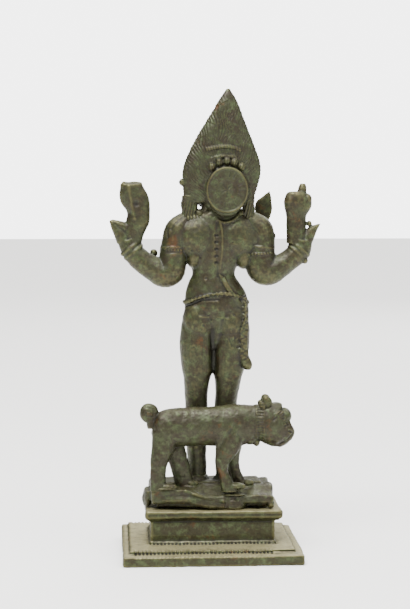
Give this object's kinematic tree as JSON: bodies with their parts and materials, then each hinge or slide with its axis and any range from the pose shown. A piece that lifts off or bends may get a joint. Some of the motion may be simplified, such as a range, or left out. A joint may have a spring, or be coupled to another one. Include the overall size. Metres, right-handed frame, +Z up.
{
  "type": "bhairava figure with dog on plinth",
  "caption": "Standing four-armed figure with pointed upright hair and a dog behind its legs, on a stepped plinth.",
  "frame": {"origin": "centre of the plinth's underside", "axes": "+Z up, the figure faces -Y, its own left side is at +X"},
  "size_m": [0.0603, 0.04, 0.1326],
  "materials": {
    "figure_bronze": "cast bronze under an olive-brown and green patina, paler dust in the hollows, rubbed edges",
    "pedestal_bronze": "cast bronze under a grey-green patina with cream dust on the upper faces"
  },
  "bodies": {
    "root": {"bhairava_and_dog": "figure_bronze", "pedestal": "pedestal_bronze"}
  },
  "joints": []
}
